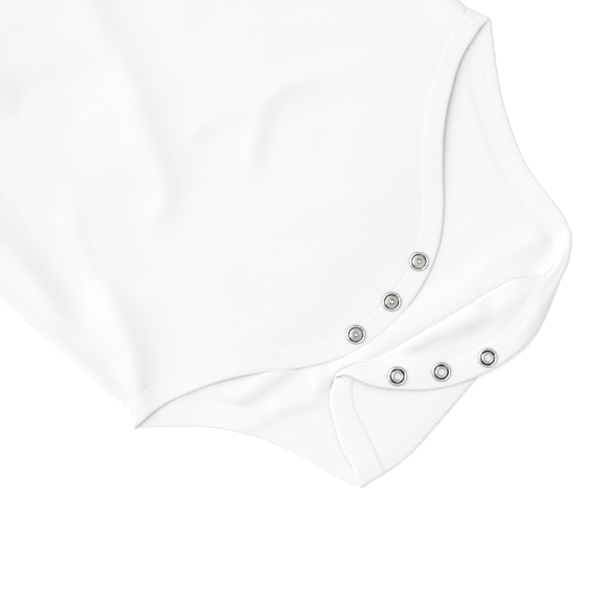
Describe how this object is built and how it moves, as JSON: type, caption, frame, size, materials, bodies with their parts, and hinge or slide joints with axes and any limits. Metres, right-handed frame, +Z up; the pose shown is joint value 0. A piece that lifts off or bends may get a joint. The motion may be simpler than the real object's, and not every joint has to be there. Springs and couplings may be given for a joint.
{
  "type": "baby bodysuit",
  "caption": "Short-sleeved baby bodysuit laid flat, front side up, with its crotch snaps undone and the longer back flap folded over in a pleat.",
  "frame": {"origin": "middle of the garment's outline, on the surface that it lies on", "axes": "+X to the wearer's left, +Y from the crotch to the neck, +Z up out of the front"},
  "size_m": [0.3708, 0.4317, 0.0077],
  "materials": {
    "jersey": "fine white cotton jersey, matt",
    "rib": "white cotton rib, matt",
    "snap_metal": "nickel plate, polished"
  },
  "bodies": {
    "root": {"front_panel": "jersey", "back_panel": "jersey", "sleeve_left": "jersey", "sleeve_right": "jersey", "neckband": "rib", "front_leg_band": "rib", "back_leg_band": "rib", "stud_1": "snap_metal", "stud_2": "snap_metal", "stud_3": "snap_metal", "socket_1": "snap_metal", "socket_2": "snap_metal", "socket_3": "snap_metal", "stud_ring_1": "snap_metal", "stud_ring_2": "snap_metal", "stud_ring_3": "snap_metal", "socket_ring_1": "snap_metal", "socket_ring_2": "snap_metal", "socket_ring_3": "snap_metal"}
  },
  "joints": []
}
